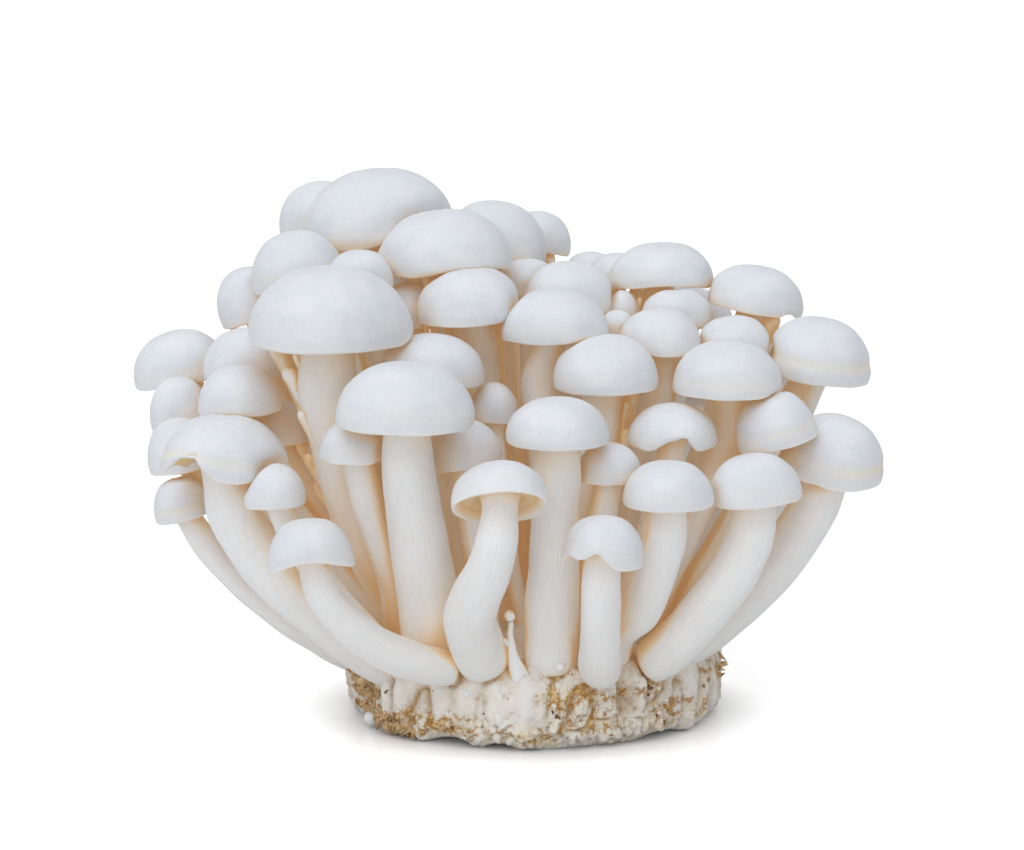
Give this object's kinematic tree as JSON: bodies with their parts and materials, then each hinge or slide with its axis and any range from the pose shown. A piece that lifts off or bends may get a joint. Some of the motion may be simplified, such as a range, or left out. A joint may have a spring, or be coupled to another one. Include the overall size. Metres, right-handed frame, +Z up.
{
  "type": "beech mushroom cluster",
  "caption": "Dense dome of round-capped white mushrooms on curved stems, fanning out of a round felted mycelium base that stands flat.",
  "frame": {"origin": "centre of the flat underside of the mycelium base, on the surface it stands on", "axes": "+Z up out of the base; +X along the cluster's widest spread, to the right as seen in the picture; the picture's viewer is on the -Y side"},
  "size_m": [0.1257, 0.1081, 0.0897],
  "materials": {
    "mushroom": "smooth satin white flesh, slightly translucent",
    "mycelium": "matt felted white mycelium with ochre stains and brown sawdust"
  },
  "bodies": {
    "root": {"base_mycelium": "mycelium", "mushroom_front_01": "mushroom", "mushroom_front_02": "mushroom", "mushroom_front_03": "mushroom", "mushroom_front_04": "mushroom", "mushroom_front_05": "mushroom", "mushroom_front_06": "mushroom", "mushroom_front_07": "mushroom", "mushroom_front_08": "mushroom", "mushroom_front_09": "mushroom", "mushroom_front_10": "mushroom", "mushroom_front_11": "mushroom", "mushroom_middle_01": "mushroom", "mushroom_middle_02": "mushroom", "mushroom_middle_03": "mushroom", "mushroom_middle_04": "mushroom", "mushroom_middle_05": "mushroom", "mushroom_middle_06": "mushroom", "mushroom_middle_07": "mushroom", "mushroom_middle_08": "mushroom", "mushroom_middle_09": "mushroom", "mushroom_middle_10": "mushroom", "mushroom_middle_11": "mushroom", "mushroom_middle_12": "mushroom", "mushroom_middle_13": "mushroom", "mushroom_middle_14": "mushroom", "mushroom_middle_15": "mushroom", "mushroom_middle_16": "mushroom", "mushroom_middle_17": "mushroom", "mushroom_middle_18": "mushroom", "mushroom_middle_19": "mushroom", "mushroom_middle_20": "mushroom", "mushroom_middle_21": "mushroom", "mushroom_middle_22": "mushroom", "mushroom_middle_23": "mushroom", "mushroom_middle_24": "mushroom", "mushroom_crown_01": "mushroom", "mushroom_crown_02": "mushroom", "mushroom_crown_03": "mushroom", "mushroom_crown_04": "mushroom", "mushroom_crown_05": "mushroom", "mushroom_crown_06": "mushroom", "mushroom_crown_07": "mushroom", "mushroom_crown_08": "mushroom", "mushroom_crown_09": "mushroom", "mushroom_crown_10": "mushroom", "mushroom_crown_11": "mushroom", "mushroom_crown_12": "mushroom", "mushroom_crown_13": "mushroom", "mushroom_crown_14": "mushroom", "mushroom_crown_15": "mushroom", "mushroom_back_01": "mushroom", "mushroom_back_02": "mushroom", "mushroom_back_03": "mushroom", "mushroom_back_04": "mushroom", "mushroom_back_05": "mushroom", "mushroom_back_06": "mushroom", "mushroom_back_07": "mushroom", "mushroom_back_08": "mushroom", "mushroom_back_09": "mushroom"}
  },
  "joints": []
}
